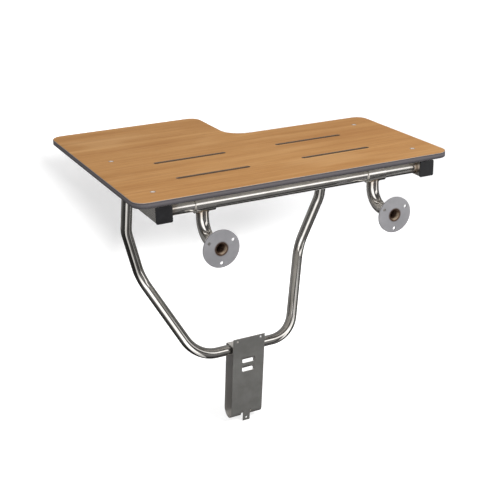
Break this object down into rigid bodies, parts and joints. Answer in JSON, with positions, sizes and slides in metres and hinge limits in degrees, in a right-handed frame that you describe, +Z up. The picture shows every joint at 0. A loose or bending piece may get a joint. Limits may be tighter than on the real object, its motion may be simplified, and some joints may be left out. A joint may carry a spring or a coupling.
{
  "type": "folding bath transfer bench",
  "caption": "L-shaped woodgrain transfer seat with drain slots that folds up on wall brackets, with square side rails, a swinging bent-tube leg and a sheet guide for the wall.",
  "frame": {"origin": "centre of the left wall flange's bolt circle, on the wall plane", "axes": "+X along the wall towards the shallow end, +Y away from the wall into the room, +Z up"},
  "size_m": [0.715, 0.606, 0.7052],
  "materials": {
    "laminate": "satin woodgrain laminate over a dark core",
    "satin_steel": "satin stainless tube",
    "flange_steel": "matt stainless plate",
    "guide_steel": "matt stainless sheet",
    "screw_steel": "bright stainless fasteners",
    "black_cap": "moulded black plastic",
    "nylon": "natural nylon"
  },
  "bodies": {
    "wall_brackets": {"left_wall_flange": "flange_steel", "right_wall_flange": "flange_steel", "left_elbow": "satin_steel", "right_elbow": "satin_steel", "left_hinge_sleeve": "satin_steel", "right_hinge_sleeve": "satin_steel", "left_hinge_bush": "nylon", "right_hinge_bush": "nylon"},
    "seat": {"seat_panel": "laminate", "left_rail": "satin_steel", "right_rail": "satin_steel", "left_wall_cap": "black_cap", "right_wall_cap": "black_cap", "left_room_cap": "black_cap", "right_room_cap": "black_cap", "hinge_bar": "satin_steel", "leg_bar": "satin_steel", "seat_screws": "screw_steel", "seat_washers": "nylon", "blind_nuts": "screw_steel"},
    "leg": {"support_leg": "satin_steel", "left_leg_sleeve": "satin_steel", "right_leg_sleeve": "satin_steel", "left_leg_bush": "nylon", "right_leg_bush": "nylon"},
    "guide": {"guide_bracket": "guide_steel"}
  },
  "joints": [
    {"name": "seat_fold", "type": "hinge", "parent": "wall_brackets", "child": "seat", "pos_m": [0, 0.085, 0.0648], "axis": [1, 0, 0], "range_deg": [0, 90]},
    {"name": "leg_swing", "type": "hinge", "parent": "seat", "child": "leg", "pos_m": [0.2115, 0.386, 0.0648], "axis": [1, 0, 0], "range_deg": [-92.6, 0]},
    {"name": "guide_swing", "type": "hinge", "parent": "leg", "child": "guide", "pos_m": [0.2115, 0.3472, -0.4082], "axis": [1, 0, 0], "range_deg": [-15, 45]}
  ],
  "couplings": [
    {"joint": "leg_swing", "follows": "seat_fold", "ratio": -1.028}
  ]
}
